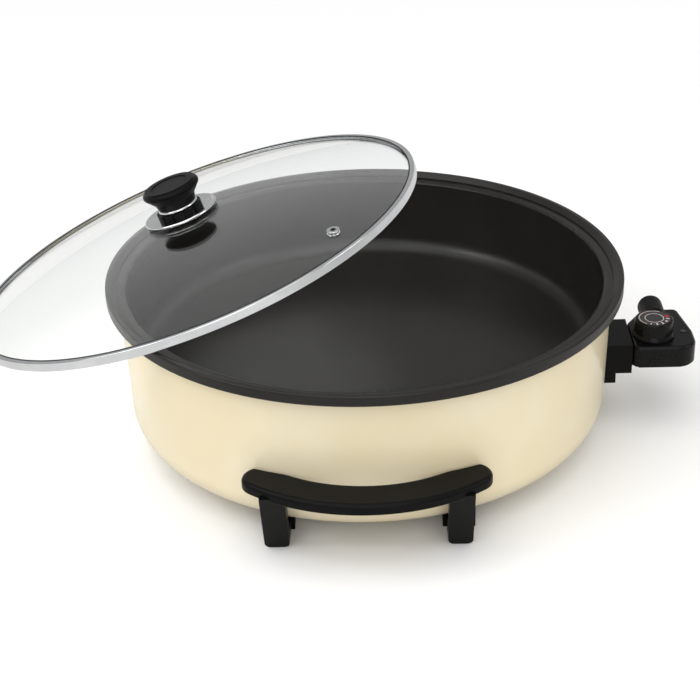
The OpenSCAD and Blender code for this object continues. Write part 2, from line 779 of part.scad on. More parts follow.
module probe_cover() {
    color("#222222") difference() {
        plug_top_slab(plug_mid, plug_top);
        translate([0, 0, plug_mid - 1]) linear_extrude(plug_height - plug_split - plug_wall + 1)
            intersection() {
                plug_outline(4.6);
                translate([nose_face + nose_wall, -60]) square([100, 120]);
            }
        translate([dial_x, dial_y, plug_mid]) cylinder(r = shaft_radius + 0.3, h = 30);
        translate([plug_end - 8, -0.5, plug_mid]) cylinder(r = lens_radius + 0.02, h = 30);
        for (p = plug_screw_places) translate([p[0], p[1], plug_mid - 1])
            cylinder(r = plug_screw_radius + 0.01, h = 5.5);
        translate([gland_x, gland_start, gland_z]) rotate([-90, 0, 0])
            cylinder(r = gland_radius + 0.02, h = 80);
    }
}

module probe_screws() {
    color("#8f9296") for (p = plug_screw_places)
        translate([p[0], p[1], plug_bottom + 1.2]) {
            cylinder(r = 2.3, h = 1.3);
            cylinder(r = plug_screw_radius, h = plug_split + 2.5);
        }
}

module cord_gland() {
    color("#1d1d1d") difference() {
        translate([gland_x, gland_start, gland_z]) rotate([-90, 0, 0]) {
            cylinder(r = gland_radius, h = 12 + gland_length - 3);
            translate([0, 0, 9 + gland_length]) rotate_extrude() {
                translate([gland_radius - 3, 0]) circle(3);
                square([gland_radius - 3, 3]);
            }
        }
        translate([gland_x, gland_start - 1, gland_z]) rotate([-90, 0, 0])
            cylinder(r = cord_hole_radius, h = 80);
        translate([gland_x, gland_start - 1, gland_z]) rotate([-90, 0, 0])
            cylinder(r = gland_radius - 2.5, h = 9);
    }
}

module pilot_lens() {
    color("#7a1512") translate([plug_end - 8, -0.5, plug_top - plug_wall - 1])
        cylinder(r = lens_radius, h = plug_wall + 1.4);
}

module sensor_rod() {
    color("#c9ccd0") translate([nose_x - rod_reach, 0, socket_height]) rotate([0, 90, 0]) {
        translate([0, 0, rod_radius]) sphere(rod_radius);
        translate([0, 0, rod_radius])
            cylinder(r = rod_radius, h = rod_reach + nose_face + nose_wall - nose_x - rod_radius);
    }
}

module probe_contacts() {
    color("#cdb36d") both_sides() translate([nose_x + 0.4, pin_offset, socket_height])
        rotate([0, 90, 0]) difference() {
            cylinder(r = contact_radius, h = 13);
            translate([0, 0, -1]) cylinder(r = pin_radius + contact_gap, h = 12.6);
        }
}

module thermostat_block() {
    x0 = nose_face + nose_wall + 0.1;
    color("#5a4a3a") translate([x0, dial_y - 12, plug_bottom + plug_wall])
        cube([26, 26, block_top - plug_bottom - plug_wall]);
}

module dial_shaft() {
    color("#b9bcc0") translate([dial_x, dial_y, block_top + 0.05])
        cylinder(r = shaft_radius, h = dial_low + 10 - block_top);
}

module dial_knob() {
    r = dial_radius;
    s = dial_skirt_radius;
    h = dial_height;
    color("#161616") translate([dial_x, dial_y, dial_low]) difference() {
        rotate_extrude() {
            polygon([[0, 0], [s, 0], [s, 1.6], [r, 4.4], [r - 0.3, h - 2], [r - 2.3, h - 2],
                     [r - 2.3, h - 0.6], [0, h - 0.6]]);
            translate([r - 2.3, h - 2]) circle(2);
        }
        translate([0, 0, -1]) cylinder(r = shaft_radius + 0.02, h = 11.1);
        translate([0, 0, h - 0.6]) cylinder(r = face_radius + 0.05, h = 2);
    }
}

module dial_face() {
    color("#241a1a") translate([dial_x, dial_y, dial_top - 0.6])
        cylinder(r = face_radius, h = 0.5);
}

module lid_glass() {
    color("#c8d6d8", 0.35) place_lid() difference() {
        rotate_extrude() intersection() {
            difference() {
                translate([0, dome_z]) circle(dome_r + glass_thickness, $fn = 360);
                translate([0, dome_z]) circle(dome_r, $fn = 360);
            }
            translate([lid_screw_radius + 0.8, band_sheet])
                square([glass_r - lid_screw_radius - 0.8, dome_rise + glass_thickness]);
        }
        translate([0, 0, dome_z]) rotate([0, asin(vent_distance / dome_r), vent_turn])
            translate([0, 0, dome_r - 5]) cylinder(r = vent_radius - 0.6, h = 20);
    }
}

module lid_band() {
    r = band_sheet;
    color("#c9ccd0") place_lid() rotate_extrude() {
        translate([lip_r, 0]) square([band_lip - r, band_sheet]);
        translate([lip_r + 0.8, band_height - band_sheet])
            square([band_lip - r - 0.8, band_sheet]);
        translate([lid_r - band_sheet, r]) square([band_sheet, band_height - 2 * r]);
        intersection() {
            for (z = [r, band_height - r]) translate([lid_r - r, z]) circle(r);
            translate([lid_r - r - small, 0]) square([r + 1, band_height]);
        }
    }
}

module vent_eyelet() {
    color("#d3d5d8") place_lid() translate([0, 0, dome_z])
        rotate([0, asin(vent_distance / dome_r), vent_turn]) translate([0, 0, dome_r])
            rotate_extrude() {
                translate([vent_hole_radius, -1.1])
                    square([vent_radius - 0.9 - vent_hole_radius, glass_thickness + 2.1]);
                translate([vent_hole_radius, -1.1])
                    square([vent_radius - vent_hole_radius, 0.95]);
                translate([vent_hole_radius, glass_thickness + 0.05])
                    square([vent_radius - vent_hole_radius - 0.5, 0.95]);
                translate([vent_radius - 0.5, glass_thickness + 0.55]) circle(0.5);
            }
}

module lid_washers() {
    low = sqrt(pow(dome_r, 2) - pow(lid_washer_radius, 2)) + dome_z;
    color("#3a3a3a") place_lid() difference() {
        union() {
            translate([0, 0, glass_top + 0.02])
                cylinder(r = lid_washer_radius + 1, h = washer_rubber - 0.02);
            translate([0, 0, low - washer_rubber - 0.02])
                cylinder(r = lid_washer_radius, h = washer_rubber);
        }
        translate([0, 0, low - 10]) cylinder(r = lid_screw_radius + 0.4, h = 30);
    }
}

module knob_dish() {
    color("#d8dadd") place_lid() rotate_extrude() {
        translate([lid_screw_radius + 0.4, dish_z])
            square([dish_flat - lid_screw_radius - 0.4, dish_sheet]);
        polygon([[dish_flat - small, dish_z], [dish_radius - 0.5, dish_z + dish_rise],
                 [dish_radius - 0.5, dish_z + dish_rise + dish_sheet],
                 [dish_flat - small, dish_z + dish_sheet]]);
        translate([dish_radius - 0.5, dish_z + dish_rise + dish_sheet / 2])
            circle(dish_sheet / 2);
    }
}

module knob_base() {
    color("#1a1a1a") place_lid() difference() {
        translate([0, 0, base_z]) cylinder(r = base_radius, h = base_height);
        translate([0, 0, base_z - 1]) cylinder(r = lid_screw_radius + 0.4, h = 20);
        for (a = [0:30:150]) rotate([0, 0, a])
            for (s = [-1, 1]) translate([s * (base_radius - 0.4) - 1, -0.8, base_z - 1])
                cube([2, 1.6, base_height + 2]);
    }
}

module knob_ring() {
    color("#d8dadd") place_lid() difference() {
        translate([0, 0, collar_z]) rotate_extrude() {
            square([collar_radius - 1.5, collar_height]);
            translate([collar_radius - 1.5, collar_height / 2]) circle(collar_height / 2);
        }
        translate([0, 0, collar_z - 1]) cylinder(r = lid_screw_radius + 0.4, h = 20);
    }
}

module knob_cap() {
    r = cap_radius;
    h = cap_height;
    color("#232323") place_lid() translate([0, 0, cap_z]) difference() {
        rotate_extrude() {
            difference() {
                union() {
                    polygon([[0, 0], [collar_radius - 1, 0], [collar_radius + 0.6, 5.5],
                             [r - 0.85, h - 6.2], [r - 3, h], [0, h]]);
                    translate([r - 3, h - 4.2]) circle(3);
                    translate([r - 3 - small, h - 4.2]) polygon([[-3, 0], [0, 0], [-1.2, 4.2], [-3, 4.2]]);
                }
                translate([groove_radius, h]) circle(0.9);
                translate([0, h - 0.7]) square([groove_radius, 3]);
            }
        }
        translate([0, 0, -1]) cylinder(r = lid_screw_radius + 0.03, h = 12);
    }
}

module lid_screw() {
    low = sqrt(pow(dome_r, 2) - pow(lid_washer_radius, 2)) + dome_z - washer_rubber - 0.02;
    color("#b9bcc0") place_lid() {
        translate([0, 0, low]) mirror([0, 0, 1]) cylinder(r = 7, h = 1.2);
        translate([0, 0, low - 3]) cylinder(r = 4.5, h = 2.5);
        translate([0, 0, low - 1]) cylinder(r = lid_screw_radius, h = cap_z + 9 - low);
    }
}

outer_shell();
pan_liner();
heat_spreader();
heating_element();
element_terminals();
heat_shield();
centre_stud();
stud_spacers();
centre_nut();
front_handle();
rear_handle();
handle_screws();
handle_nuts();
socket_guard();
sensor_sleeve();
guard_screws();
guard_nuts();
probe_base();
probe_cover();
probe_screws();
cord_gland();
pilot_lens();
sensor_rod();
probe_contacts();
thermostat_block();
dial_shaft();
dial_knob();
dial_face();
lid_glass();
lid_band();
vent_eyelet();
lid_washers();
knob_dish();
knob_base();
knob_ring();
knob_cap();
lid_screw();
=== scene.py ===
"""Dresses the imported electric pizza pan: finishes, dial print, fittings, light and camera."""

import json
import logging
import math
from dataclasses import dataclass
from enum import Enum

import bpy
from mathutils import Euler, Matrix, Vector


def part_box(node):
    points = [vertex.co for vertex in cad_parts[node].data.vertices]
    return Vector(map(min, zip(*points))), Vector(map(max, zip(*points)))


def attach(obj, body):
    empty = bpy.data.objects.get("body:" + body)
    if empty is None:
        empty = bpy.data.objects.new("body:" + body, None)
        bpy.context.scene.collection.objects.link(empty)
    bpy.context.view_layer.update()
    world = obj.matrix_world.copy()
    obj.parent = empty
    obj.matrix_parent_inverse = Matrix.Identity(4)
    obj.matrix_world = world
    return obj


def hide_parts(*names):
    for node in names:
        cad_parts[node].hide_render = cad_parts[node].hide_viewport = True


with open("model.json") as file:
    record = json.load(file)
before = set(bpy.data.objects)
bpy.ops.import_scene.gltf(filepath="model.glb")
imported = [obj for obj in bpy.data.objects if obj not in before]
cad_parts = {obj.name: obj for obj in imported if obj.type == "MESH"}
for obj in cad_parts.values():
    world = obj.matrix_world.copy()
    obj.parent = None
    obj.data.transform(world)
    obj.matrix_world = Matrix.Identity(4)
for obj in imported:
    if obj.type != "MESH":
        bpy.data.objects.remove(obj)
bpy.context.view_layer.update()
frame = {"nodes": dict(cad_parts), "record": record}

LOG = logging.getLogger("pizza_pan")
MM = 0.001
UM = 1e-6
WHITE = (1.0, 1.0, 1.0, 1.0)
# the lid's lean, as part.scad has it
LID_CENTRE = (-0.1438, 0.0581, 0.138055)
LID_TILT = math.radians(18.49)
LID_TURN = math.radians(170.92)
# noise levels between which one tone passes into the other, and one roughness into the other
TONE_FROM, TONE_TO = 0.35, 0.65
ROUGH_FROM, ROUGH_TO = 0.3, 0.7
# size of the roughness drift as a share of the tone's
ROUGH_SHARE = 0.6
# specks that handling leaves: their size, the noise levels they rise between, and how full they get
SPECK_MM = 1.1
SPECK_FROM, SPECK_TO, SPECK_DEPTH = 0.66, 0.78, 0.5


class Body(Enum):
    """The moving bodies that a piece can ride on."""

    PAN = "pan"
    PLUG = "plug"
    DIAL = "dial"
    LID = "lid"


class Grain(Enum):
    """How a surface was worked, which sets the pattern of its fine relief."""

    MOULDED = "moulded"
    ENAMELLED = "enamelled"
    SPUN = "spun"
    DRAWN = "drawn"


def linear(hex_colour: str, alpha: float = 1.0) -> tuple[float, float, float, float]:
    """Turns an sRGB hex colour to linear values.

    Args:
        hex_colour: Six hex digits, with or without a leading #.
        alpha: The fourth value.

    Returns:
        Red, green, blue and alpha, linear.
    """
    digits = hex_colour.lstrip("#")
    parts = [int(digits[i:i + 2], 16) / 255 for i in (0, 2, 4)]
    low = [p / 12.92 if p <= 0.04045 else ((p + 0.055) / 1.055) ** 2.4 for p in parts]
    return low[0], low[1], low[2], alpha


def add(tree: bpy.types.NodeTree, kind: str, values: dict | None = None,
        links: dict | None = None, **settings: object) -> bpy.types.Node:
    """Adds one shader node with its settings and links.

    Args:
        tree: The node tree that gets the node.
        kind: Blender's name of the node type.
        values: Default values by input name or number.
        links: Output sockets by input name or number.
        **settings: Attributes of the node itself.

    Returns:
        The new node.
    """
    made = tree.nodes.new(kind)
    for name, value in settings.items():
        setattr(made, name, value)
    for name, value in (values or {}).items():
        made.inputs[name].default_value = value
    for name, socket in (links or {}).items():
        tree.links.new(socket, made.inputs[name])
    return made


def empty_material(name: str) -> tuple[bpy.types.Material, bpy.types.NodeTree]:
    """Makes a material with no nodes in it yet.

    Args:
        name: The material's name.

    Returns:
        The material and its node tree.
    """
    material = bpy.data.materials.new(name)
    material.use_nodes = True
    material.node_tree.nodes.clear()
    return material, material.node_tree


@dataclass(frozen=True)
class Place:
    """A turned and moved place of its own, such as the leaning lid's.

    Args:
        centre: Where the place's origin lies, in metres.
        turn: Euler angles of the place, in radians, XYZ order.
    """

    centre: tuple[float, float, float] = (0.0, 0.0, 0.0)
    turn: tuple[float, float, float] = (0.0, 0.0, 0.0)

    def matrix(self) -> Matrix:
        """Carries points from the place's own axes to the part's.

        Returns:
            The matrix.
        """
        return Matrix.Translation(self.centre) @ Euler(self.turn, "XYZ").to_matrix().to_4x4()


def lid_place() -> Place:
    """Works out where the leaning lid lies.

    Returns:
        The place whose Z axis is the lid's own axis and whose origin is the lid's rim centre.
    """
    spin = Matrix.Rotation(LID_TURN, 3, "Z") @ Matrix.Rotation(LID_TILT, 3, "Y")
    turn = spin.to_euler("XYZ")
    return Place(LID_CENTRE, (turn.x, turn.y, turn.z))


FLAT = Place()
LID = lid_place()
DIAL = Place((0.238, -0.006, 0.0784))
DIAL_AXIS = Place((DIAL.centre[0], DIAL.centre[1], 0.0))
LENS = Place((0.2638, -0.0005, 0.078))


@dataclass(frozen=True)
class Finish:
    """One opaque finish, from its common name to the relief of its surface.

    Args:
        name: What the material is and how its surface was made.
        base: The colour, sRGB hex.
        tone: The colour that the base drifts to, sRGB hex.
        tone_mm: Size of that drift.
        roughness: Middle of the roughness.
        spread: How far the roughness drifts either way.
        metallic: 1 for bare metal.
        ior: Index of refraction, or None to keep the default.
        coat: Weight of a clear top layer.
        coat_roughness: Roughness of that layer.
        grain: How the surface was worked.
        grain_mm: Size of the relief.
        relief_um: Height of the relief in thousandths of a millimetre.
        place: Axes that spun or drawn lines follow.
        wear: The colour of dust and handling in the drift's high spots, or None.
    """

    name: str
    base: str
    tone: str
    tone_mm: float
    roughness: float
    spread: float = 0.04
    metallic: float = 0.0
    ior: float | None = None
    coat: float = 0.0
    coat_roughness: float = 0.1
    grain: Grain = Grain.MOULDED
    grain_mm: float = 0.6
    relief_um: float = 8.0
    place: Place = FLAT
    wear: str | None = None

    def coordinates(self, tree: bpy.types.NodeTree) -> bpy.types.NodeSocket:
        """Gives object coordinates along the finish's own place.

        Args:
            tree: The material's node tree.

        Returns:
            The vector output to read patterns from.
        """
        source = add(tree, "ShaderNodeTexCoord")
        moved = add(tree, "ShaderNodeMapping",
                    {"Location": self.place.centre, "Rotation": self.place.turn},
                    {"Vector": source.outputs["Object"]}, vector_type="TEXTURE")
        return moved.outputs["Vector"]

    def colour(self, tree: bpy.types.NodeTree, where: bpy.types.NodeSocket) -> bpy.types.NodeSocket:
        """Drifts the base colour towards the tone and lays handling marks over it.

        Args:
            tree: The material's node tree.
            where: The vector that patterns read.

        Returns:
            The colour output.
        """
        drift = add(tree, "ShaderNodeTexNoise",
                    {"Scale": 1000 / self.tone_mm, "Detail": 3.0, "Roughness": 0.55},
                    {"Vector": where})
        ramp = add(tree, "ShaderNodeMapRange",
                   {"From Min": TONE_FROM, "From Max": TONE_TO, "To Min": 0.0, "To Max": 1.0},
                   {"Value": drift.outputs["Fac"]}, interpolation_type="SMOOTHSTEP")
        mixed = add(tree, "ShaderNodeMix", {6: linear(self.base), 7: linear(self.tone)},
                    {0: ramp.outputs["Result"]}, data_type="RGBA")
        if self.wear is None:
            return mixed.outputs[2]
        specks = add(tree, "ShaderNodeTexNoise",
                     {"Scale": 1000 / SPECK_MM, "Detail": 5.0, "Roughness": 0.7},
                     {"Vector": where})
        few = add(tree, "ShaderNodeMapRange",
                  {"From Min": SPECK_FROM, "From Max": SPECK_TO, "To Min": 0.0,
                   "To Max": SPECK_DEPTH},
                  {"Value": specks.outputs["Fac"]})
        worn = add(tree, "ShaderNodeMix", {7: linear(self.wear)},
                   {0: few.outputs["Result"], 6: mixed.outputs[2]}, data_type="RGBA")
        return worn.outputs[2]

    def relief(self, tree: bpy.types.NodeTree, where: bpy.types.NodeSocket) -> bpy.types.NodeSocket:
        """Makes the height pattern that the way of working leaves.

        Args:
            tree: The material's node tree.
            where: The vector that patterns read.

        Returns:
            The height output, from 0 to 1.
        """
        scale = 1000 / self.grain_mm
        if self.grain in (Grain.SPUN, Grain.DRAWN):
            parts = add(tree, "ShaderNodeSeparateXYZ", None, {"Vector": where})
            if self.grain is Grain.SPUN:
                flat = add(tree, "ShaderNodeCombineXYZ", None,
                           {"X": parts.outputs["X"], "Y": parts.outputs["Y"]})
                along = add(tree, "ShaderNodeVectorMath", None, {0: flat.outputs["Vector"]},
                            operation="LENGTH").outputs["Value"]
            else:
                along = parts.outputs["Z"]
            lines = add(tree, "ShaderNodeTexNoise", {"Scale": scale, "Detail": 2.0},
                        {"W": along}, noise_dimensions="1D")
            return lines.outputs["Fac"]
        if self.grain is Grain.ENAMELLED:
            swell = add(tree, "ShaderNodeTexNoise", {"Scale": scale, "Detail": 1.0},
                        {"Vector": where})
            return swell.outputs["Fac"]
        pits = add(tree, "ShaderNodeTexVoronoi", {"Scale": scale, "Randomness": 1.0},
                   {"Vector": where}, feature="SMOOTH_F1")
        return pits.outputs["Distance"]

    def build(self) -> bpy.types.Material:
        """Makes the material.

        Returns:
            The new material, ready to be given to pieces.
        """
        material, tree = empty_material(self.name)
        where = self.coordinates(tree)
        height = self.relief(tree, where)
        drift = add(tree, "ShaderNodeTexNoise",
                    {"Scale": 1000 / (self.tone_mm * ROUGH_SHARE), "Detail": 4.0},
                    {"Vector": where})
        rough = add(tree, "ShaderNodeMapRange",
                    {"From Min": ROUGH_FROM, "From Max": ROUGH_TO,
                     "To Min": self.roughness - self.spread,
                     "To Max": self.roughness + self.spread}, {"Value": drift.outputs["Fac"]})
        bump = add(tree, "ShaderNodeBump",
                   {"Strength": 1.0, "Distance": self.relief_um * UM}, {"Height": height})
        shader = add(tree, "ShaderNodeBsdfPrincipled",
                     {"Metallic": self.metallic, "Coat Weight": self.coat,
                      "Coat Roughness": self.coat_roughness},
                     {"Base Color": self.colour(tree, where), "Roughness": rough.outputs["Result"],
                      "Normal": bump.outputs["Normal"]})
        if self.ior is not None:
            shader.inputs["IOR"].default_value = self.ior
        add(tree, "ShaderNodeOutputMaterial", None, {"Surface": shader.outputs["BSDF"]})
        return material


@dataclass(frozen=True)
class ClearGlass:
    """Clear tempered soda-lime glass, pressed: smooth, with a faint grey-green body.

    Args:
        name: What the material is.
        tint: The body colour, sRGB hex.
        roughness: Roughness of both faces.
        ior: Index of refraction.
        swell_mm: Size of the very slow swell that pressing leaves.
        swell_um: Height of that swell in thousandths of a millimetre.
    """

    name: str = "tempered_soda_lime_glass"
    tint: str = "#fbfdfc"
    roughness: float = 0.0
    ior: float = 1.47
    swell_mm: float = 40.0
    swell_um: float = 20.0

    def build(self) -> bpy.types.Material:
        """Makes the material.

        Returns:
            The new material.
        """
        material, tree = empty_material(self.name)
        source = add(tree, "ShaderNodeTexCoord")
        swell = add(tree, "ShaderNodeTexNoise", {"Scale": 1000 / self.swell_mm, "Detail": 1.0},
                    {"Vector": source.outputs["Object"]})
        bump = add(tree, "ShaderNodeBump", {"Strength": 0.5, "Distance": self.swell_um * UM},
                   {"Height": swell.outputs["Fac"]})
        shader = add(tree, "ShaderNodeBsdfPrincipled",
                     {"Base Color": linear(self.tint), "Roughness": self.roughness,
                      "IOR": self.ior, "Transmission Weight": 1.0},
                     {"Normal": bump.outputs["Normal"]})
        add(tree, "ShaderNodeOutputMaterial", None, {"Surface": shader.outputs["BSDF"]})
        return material


@dataclass(frozen=True)
class DialPrint:
    """Aluminium disc under black lacquer, screen printed with rings and scale marks.

    Args:
        name: What the material is and how it was printed.
        ground: Colour of the lacquer, sRGB hex.
        band: Colour of the scale's ring, sRGB hex.
        ink: Colour of the printed lines, sRGB hex.
        inner_mm: Radius of the inner printed ring.
        outer_mm: Radius of the outer printed arc.
        line_mm: Width of the printed lines.
        gap_from: Where the outer arc stops, in degrees from +X.
        gap_to: Where it goes on.
        speckle_mm: Size of the thin spots in the ink.
        turning_mm: Distance of the disc's turning lines.
        turning_um: Their height in thousandths of a millimetre.
        roughness: Roughness of the lacquer.
        coat: Weight of its clear top layer.
        coat_roughness: Roughness of that layer.
    """

    name: str = "screen_printed_lacquered_disc"
    ground: str = "#100c0d"
    band: str = "#2a1618"
    ink: str = "#efebe6"
    inner_mm: float = 7.6
    outer_mm: float = 12.3
    line_mm: float = 0.5
    gap_from: float = -128.0
    gap_to: float = 62.0
    speckle_mm: float = 0.5
    turning_mm: float = 0.25
    turning_um: float = 6.0
    roughness: float = 0.32
    coat: float = 0.3
    coat_roughness: float = 0.15

    def ring(self, tree: bpy.types.NodeTree, radius: bpy.types.NodeSocket,
             middle_mm: float) -> bpy.types.NodeSocket:
        """Marks where a printed ring lies.

        Args:
            tree: The material's node tree.
            radius: Distance from the dial's axis, in metres.
            middle_mm: Radius of the ring's middle.

        Returns:
            1 on the ring and 0 off it.
        """
        off = add(tree, "ShaderNodeMath", {1: middle_mm * MM}, {0: radius}, operation="SUBTRACT")
        far = add(tree, "ShaderNodeMath", None, {0: off.outputs[0]}, operation="ABSOLUTE")
        near = add(tree, "ShaderNodeMath", {1: self.line_mm * MM / 2}, {0: far.outputs[0]},
                   operation="LESS_THAN")
        return near.outputs[0]

    def build(self) -> bpy.types.Material:
        """Makes the material.

        Returns:
            The new material.
        """
        material, tree = empty_material(self.name)
        source = add(tree, "ShaderNodeTexCoord")
        local = add(tree, "ShaderNodeMapping", {"Location": DIAL.centre},
                    {"Vector": source.outputs["Object"]}, vector_type="TEXTURE")
        parts = add(tree, "ShaderNodeSeparateXYZ", None, {"Vector": local.outputs["Vector"]})
        flat = add(tree, "ShaderNodeCombineXYZ", None,
                   {"X": parts.outputs["X"], "Y": parts.outputs["Y"]})
        radius = add(tree, "ShaderNodeVectorMath", None, {0: flat.outputs["Vector"]},
                     operation="LENGTH").outputs["Value"]
        angle = add(tree, "ShaderNodeMath", None,
                    {0: parts.outputs["Y"], 1: parts.outputs["X"]}, operation="ARCTAN2").outputs[0]
        # the outer arc stops where the numbers and the red mark are
        after = add(tree, "ShaderNodeMath", {1: math.radians(self.gap_to)}, {0: angle},
                    operation="GREATER_THAN").outputs[0]
        before = add(tree, "ShaderNodeMath", {1: math.radians(self.gap_from)}, {0: angle},
                     operation="LESS_THAN").outputs[0]
        open_side = add(tree, "ShaderNodeMath", None, {0: after, 1: before},
                        operation="MAXIMUM").outputs[0]
        arc = add(tree, "ShaderNodeMath", None,
                  {0: self.ring(tree, radius, self.outer_mm), 1: open_side},
                  operation="MULTIPLY").outputs[0]
        ink = add(tree, "ShaderNodeMath", None,
                  {0: self.ring(tree, radius, self.inner_mm), 1: arc},
                  operation="MAXIMUM").outputs[0]
        in_band = add(tree, "ShaderNodeMath", {1: (self.inner_mm + self.line_mm) * MM},
                      {0: radius}, operation="GREATER_THAN").outputs[0]
        speckle = add(tree, "ShaderNodeTexNoise",
                      {"Scale": 1000 / self.speckle_mm, "Detail": 3.0},
                      {"Vector": local.outputs["Vector"]})
        worn = add(tree, "ShaderNodeMapRange",
                   {"From Min": 0.25, "From Max": 0.5, "To Min": 0.55, "To Max": 1.0},
                   {"Value": speckle.outputs["Fac"]})
        printed = add(tree, "ShaderNodeMath", None, {0: ink, 1: worn.outputs["Result"]},
                      operation="MULTIPLY").outputs[0]
        ground = add(tree, "ShaderNodeMix", {6: linear(self.ground), 7: linear(self.band)},
                     {0: in_band}, data_type="RGBA").outputs[2]
        colour = add(tree, "ShaderNodeMix", {7: linear(self.ink)}, {0: printed, 6: ground},
                     data_type="RGBA").outputs[2]
        turned = add(tree, "ShaderNodeTexNoise", {"Scale": 1000 / self.turning_mm},
                     {"W": radius}, noise_dimensions="1D")
        bump = add(tree, "ShaderNodeBump", {"Strength": 1.0, "Distance": self.turning_um * UM},
                   {"Height": turned.outputs["Fac"]})
        shader = add(tree, "ShaderNodeBsdfPrincipled",
                     {"Roughness": self.roughness, "Coat Weight": self.coat,
                      "Coat Roughness": self.coat_roughness},
                     {"Base Color": colour, "Normal": bump.outputs["Normal"]})
        add(tree, "ShaderNodeOutputMaterial", None, {"Surface": shader.outputs["BSDF"]})
        return material


FINISHES: dict[str, Finish | ClearGlass | DialPrint] = {
    # vitreous enamel, sprayed and fired: a glassy skin with a slow orange-peel swell
    "cream_enamel": Finish(
        "vitreous_enamel_sprayed_cream", "#f6eaca", "#f3e4bf", tone_mm=90, roughness=0.34,
        spread=0.03, ior=1.5, coat=0.5, coat_roughness=0.1, grain=Grain.ENAMELLED, grain_mm=3.2,
        relief_um=26),
    # PTFE on aluminium, sprayed over a turned blank: soft sheen with faint turning rings
    "non_stick": Finish(
        "ptfe_non_stick_sprayed_charcoal", "#211f1d", "#1d1b1a", tone_mm=70, roughness=0.33,
        spread=0.012, ior=1.32, coat=0.12, coat_roughness=0.2, grain=Grain.SPUN, grain_mm=2.6,
        relief_um=5),
    # rolled aluminium sheet: bright, with straight fine rolling lines
    "bare_aluminium": Finish(
        "aluminium_rolled_mill_finish", "#c2c4c6", "#b3b5b8", tone_mm=40, roughness=0.38,
        spread=0.08, metallic=1.0, grain=Grain.DRAWN, grain_mm=0.4),
    # sheathed steel tube, heat darkened to brown and straw patches
    "element_steel": Finish(
        "steel_sheath_heat_tinted", "#6b625b", "#4b4a4d", tone_mm=22, roughness=0.45, spread=0.1,
        metallic=1.0, grain_mm=0.5, relief_um=10),
    # turned brass pins: warm yellow with fine lines
    "terminal_brass": Finish(
        "brass_turned", "#c9a55c", "#b28e4a", tone_mm=6, roughness=0.3, spread=0.08,
        metallic=1.0, grain=Grain.DRAWN, grain_mm=0.3, relief_um=6),
    # zinc-plated steel, barrel finished: grey with dull patches
    "zinc_steel": Finish(
        "steel_zinc_plated", "#a8abae", "#94989c", tone_mm=5, roughness=0.35, spread=0.1,
        metallic=1.0, grain_mm=0.35, relief_um=6),
    # phenolic, compression moulded: near black with a satin skin off a spark-eroded tool
    "black_phenolic": Finish(
        "phenolic_compression_moulded_black", "#0e0e0e", "#0b0b0b", tone_mm=35, roughness=0.36,
        spread=0.015, ior=1.2, grain_mm=0.5, relief_um=5),
    # glass-filled polyamide, injection moulded: black with a finer, glossier skin
    "black_moulding": Finish(
        "polyamide_injection_moulded_black", "#111111", "#0c0c0c", tone_mm=20, roughness=0.25,
        ior=1.25, grain_mm=0.45, relief_um=4, wear="#191919"),
    # phenolic, brown: plain inside piece
    "brown_phenolic": Finish(
        "phenolic_compression_moulded_brown", "#5b4434", "#4c3829", tone_mm=12, roughness=0.5,
        spread=0.06, ior=1.55, relief_um=10),
    # chloroprene rubber, moulded: matt black
    "black_rubber": Finish(
        "chloroprene_rubber_moulded", "#131313", "#0e0e0e", tone_mm=10, roughness=0.5,
        spread=0.06, ior=1.25, grain_mm=0.4, relief_um=12),
    # silicone rubber, moulded: dull dark grey
    "grey_rubber": Finish(
        "silicone_rubber_moulded", "#2c2c2c", "#262626", tone_mm=10, roughness=0.58,
        spread=0.06, ior=1.38, grain_mm=0.5, relief_um=10),
    # dyed acrylic lens, moulded: dark red until lit
    "lens_red": Finish(
        "acrylic_dyed_lens", "#240a09", "#1c0707", tone_mm=3, roughness=0.12, spread=0.03,
        ior=1.49, coat=0.5, coat_roughness=0.05, grain=Grain.SPUN, relief_um=15, place=LENS),
    # stainless strip, rolled round the glass and polished: fine lines run along the band
    "bright_steel": Finish(
        "stainless_steel_rolled_polished", "#e9ebed", "#dee0e3", tone_mm=30, roughness=0.13,
        spread=0.05, metallic=1.0, grain=Grain.DRAWN, grain_mm=0.5, relief_um=3, place=LID),
    # chromium over nickel on pressed steel: mirror bright with faint spinning rings
    "bright_chrome": Finish(
        "chromium_plated_pressed_steel", "#f3f4f5", "#e9ebec", tone_mm=20, roughness=0.1,
        metallic=1.0, grain=Grain.SPUN, grain_mm=0.7, relief_um=4, place=LID),
    "clear_glass": ClearGlass(),
    "dial_print": DialPrint(),
}


def clear_selection() -> None:
    """Leaves edit mode if it is on, and selects nothing."""
    if bpy.context.object is not None and bpy.context.object.mode != "OBJECT":
        bpy.ops.object.mode_set(mode="OBJECT")
    bpy.ops.object.select_all(action="DESELECT")


def take(made: bpy.types.Object) -> None:
    """Makes one object the only selected one, and the active one.

    Args:
        made: The object.
    """
    clear_selection()
    made.select_set(True)
    bpy.context.view_layer.objects.active = made


def named(name: str) -> bpy.types.Object:
    """Names the object that an operator has just made, and its mesh.

    Args:
        name: Its name.

    Returns:
        The active object.
    """
    made = bpy.context.object
    made.name = name
    made.data.name = name
    return made


def linked(name: str, data: bpy.types.ID) -> bpy.types.Object:
    """Makes an object of a mesh, lamp or camera and puts it into the scene.

    Args:
        name: The object's name.
        data: What it shows.

    Returns:
        The new object.
    """
    made = bpy.data.objects.new(name, data)
    bpy.context.scene.collection.objects.link(made)
    return made


def joined(name: str, pieces: list[bpy.types.Object]) -> bpy.types.Object:
    """Joins pieces into the first of them.

    Args:
        name: The joined piece's name.
        pieces: The pieces.

    Returns:
        The joined piece, not yet settled.
    """
    take(pieces[0])
    for piece in pieces[1:]:
        piece.select_set(True)
    bpy.ops.object.join()
    return named(name)


